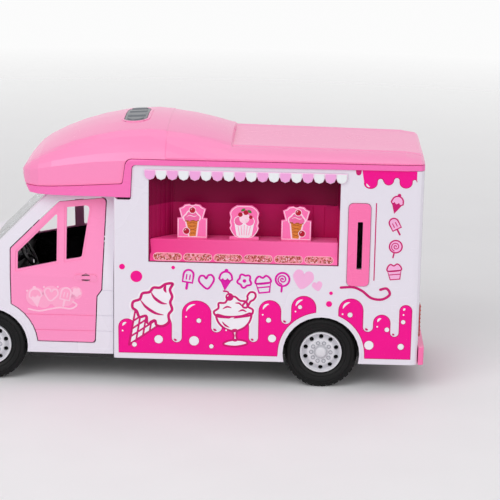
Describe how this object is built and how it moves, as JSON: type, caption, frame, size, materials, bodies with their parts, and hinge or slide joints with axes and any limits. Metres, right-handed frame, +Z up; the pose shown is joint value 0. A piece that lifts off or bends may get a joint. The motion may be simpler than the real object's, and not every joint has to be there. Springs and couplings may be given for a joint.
{
  "type": "toy ice cream truck",
  "caption": "Plastic toy ice cream truck with a domed roof over the cab, a serving window under a scalloped awning, opening cab doors and free-rolling wheels.",
  "frame": {"origin": "bottom centre of the bounding box, on the floor under the middle of the truck", "axes": "+X to the tail (the nose faces -X), +Y to the closed side (the serving window faces -Y), +Z up"},
  "size_m": [0.35, 0.1144, 0.174],
  "materials": {
    "white_plastic": "smooth gloss",
    "pink_plastic": "smooth gloss",
    "hot_pink_plastic": "smooth gloss",
    "magenta_plastic": "satin",
    "awning_plastic": "printed gloss",
    "card": "printed satin",
    "black_plastic": "satin",
    "clear_plastic": "smoked clear gloss",
    "silver_plastic": "plated",
    "red_lens": "clear gloss",
    "tyre_rubber": "satin",
    "rim_plastic": "gloss",
    "steel": "drawn"
  },
  "bodies": {
    "truck": {"body_shell": "white_plastic", "cab_shell": "white_plastic", "roof": "pink_plastic", "vent_left": "pink_plastic", "vent_right": "pink_plastic", "roof_trim": "hot_pink_plastic", "front_bumper": "hot_pink_plastic", "rear_bumper": "hot_pink_plastic", "counter": "hot_pink_plastic", "niche_interior": "magenta_plastic", "awning": "awning_plastic", "sign_front": "card", "sign_middle": "card", "sign_rear": "card", "chassis": "black_plastic", "battery_cover": "black_plastic", "cab_tub": "black_plastic", "seat_bench": "black_plastic", "dashboard": "black_plastic", "steering_wheel": "black_plastic", "grille": "black_plastic", "cowl_vent_left": "black_plastic", "cowl_vent_right": "black_plastic", "windshield": "clear_plastic", "headlight_left": "clear_plastic", "headlight_right": "clear_plastic", "sound_button": "silver_plastic", "tail_lamp_left": "red_lens", "tail_lamp_right": "red_lens"},
    "door_left": {"door_left": "pink_plastic"},
    "door_right": {"door_right": "pink_plastic"},
    "front_wheels": {"front_axle": "steel", "tyre_front_left": "tyre_rubber", "tyre_front_right": "tyre_rubber", "rim_front_left": "rim_plastic", "rim_front_right": "rim_plastic"},
    "rear_wheels": {"rear_axle": "steel", "tyre_rear_left": "tyre_rubber", "tyre_rear_right": "tyre_rubber", "rim_rear_left": "rim_plastic", "rim_rear_right": "rim_plastic"}
  },
  "joints": [
    {"name": "front_wheels_spin", "type": "hinge", "parent": "truck", "child": "front_wheels", "pos_m": [-0.113, 0, 0.024], "axis": [0, 1, 0], "continuous": true},
    {"name": "rear_wheels_spin", "type": "hinge", "parent": "truck", "child": "rear_wheels", "pos_m": [0.107, 0, 0.024], "axis": [0, 1, 0], "continuous": true},
    {"name": "door_left_hinge", "type": "hinge", "parent": "truck", "child": "door_left", "pos_m": [-0.0973, -0.0529, 0.072], "axis": [0, 0, -1], "range_deg": [0, 70]},
    {"name": "door_right_hinge", "type": "hinge", "parent": "truck", "child": "door_right", "pos_m": [-0.0973, 0.0529, 0.072], "axis": [0, 0, 1], "range_deg": [0, 70]}
  ]
}
